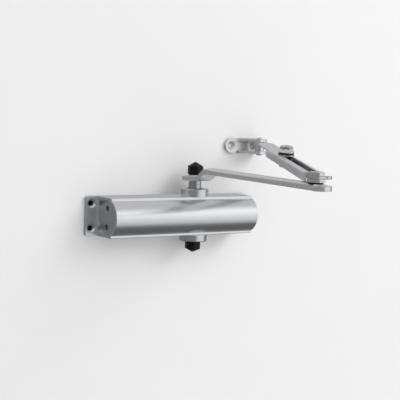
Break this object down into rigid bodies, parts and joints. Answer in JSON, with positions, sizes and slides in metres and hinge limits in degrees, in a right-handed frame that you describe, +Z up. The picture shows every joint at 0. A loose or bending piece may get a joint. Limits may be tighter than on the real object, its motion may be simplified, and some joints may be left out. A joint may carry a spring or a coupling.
{
  "type": "overhead door closer",
  "caption": "Surface-mounted hydraulic door closer: D-section body with spring and rack inside, cranked main arm, adjustable slotted forearm and wall shoe.",
  "frame": {"origin": "centre of the four body screw holes, on the body's back face", "axes": "+X along the body to the right, +Y into the surface it is screwed to, +Z up along the spindle towards the arm"},
  "size_m": [0.1917, 0.2274, 0.1089],
  "materials": {
    "body_aluminium": "satin",
    "plug_steel": "satin",
    "collar_steel": "satin",
    "spindle_steel": "polished",
    "arm_paint": "satin silver paint",
    "forearm_paint": "satin silver paint",
    "plated_steel": "bright zinc",
    "dark_steel": "blackened",
    "black_plastic": "satin",
    "seal_rubber": "matte",
    "bearing_bronze": "satin",
    "inner_steel": "machined"
  },
  "bodies": {
    "closer_body": {"body_housing": "body_aluminium", "left_end_plug": "plug_steel", "right_end_plug": "plug_steel", "left_plug_seal": "seal_rubber", "right_plug_seal": "seal_rubber", "top_collar": "collar_steel", "bottom_collar": "collar_steel", "top_bearing": "bearing_bronze", "bottom_bearing": "bearing_bronze", "top_shaft_seal": "seal_rubber", "bottom_shaft_seal": "seal_rubber", "spring_seat": "inner_steel", "closer_spring": "inner_steel"},
    "main_arm": {"pinion": "spindle_steel", "main_arm": "arm_paint", "arm_washer": "plated_steel", "arm_screw": "plated_steel", "top_cap": "black_plastic", "bottom_cap": "black_plastic", "elbow_washer": "black_plastic", "elbow_collar": "plated_steel", "elbow_bolt": "plated_steel"},
    "piston": {"piston": "inner_steel", "check_ball": "inner_steel", "check_ball_clip": "inner_steel"},
    "closing_valve": {"closing_valve": "inner_steel", "closing_valve_seal": "seal_rubber"},
    "latching_valve": {"latching_valve": "inner_steel", "latching_valve_seal": "seal_rubber"},
    "forearm_link": {"forearm_link": "forearm_paint", "clamp_nut": "plated_steel"},
    "clamp_bolt": {"clamp_bolt": "plated_steel", "clamp_lock_washer": "dark_steel", "clamp_flat_washer": "plated_steel"},
    "forearm_channel": {"forearm_channel": "forearm_paint"},
    "shoe": {"shoe_bracket": "forearm_paint", "shoe_rivet": "plated_steel", "shoe_spacer": "plated_steel"}
  },
  "joints": [
    {"name": "spindle_turn", "type": "hinge", "parent": "closer_body", "child": "main_arm", "pos_m": [0.0166, -0.01975, 0], "axis": [0, 0, 1], "range_deg": [0, 170], "stiffness_Nm_per_rad": 2, "springref_deg": -85.94},
    {"name": "piston_slide", "type": "slide", "parent": "closer_body", "child": "piston", "axis": [1, 0, 0], "range_m": [-0.0225, 0], "deforming": ["closer_spring"]},
    {"name": "elbow_turn", "type": "hinge", "parent": "main_arm", "child": "forearm_link", "pos_m": [0.00045, -0.21207, 0.05125], "axis": [0, 0, 1], "continuous": true},
    {"name": "clamp_bolt_turn", "type": "hinge", "parent": "forearm_link", "child": "clamp_bolt", "pos_m": [0.04583, -0.11739, 0.06264], "axis": [-0.0352, -0.0735, 0.9967], "range_deg": [0, 360]},
    {"name": "forearm_slide", "type": "slide", "parent": "forearm_link", "child": "forearm_channel", "axis": [0.4308, 0.8988, 0.0815], "range_m": [0, 0.07]},
    {"name": "shoe_turn", "type": "hinge", "parent": "forearm_channel", "child": "shoe", "pos_m": [0.0949, -0.015, 0.0686], "axis": [0, 0, 1], "range_deg": [-105, 55]},
    {"name": "closing_valve_turn", "type": "hinge", "parent": "closer_body", "child": "closing_valve", "pos_m": [0.0769, -0.0075, 0.0132], "axis": [1, 0, 0], "range_deg": [-360, 360]},
    {"name": "latching_valve_turn", "type": "hinge", "parent": "closer_body", "child": "latching_valve", "pos_m": [0.0769, -0.0075, -0.0132], "axis": [1, 0, 0], "range_deg": [-360, 360]}
  ],
  "couplings": [
    {"joint": "piston_slide", "follows": "spindle_turn", "m_per_rad": -0.0075}
  ]
}
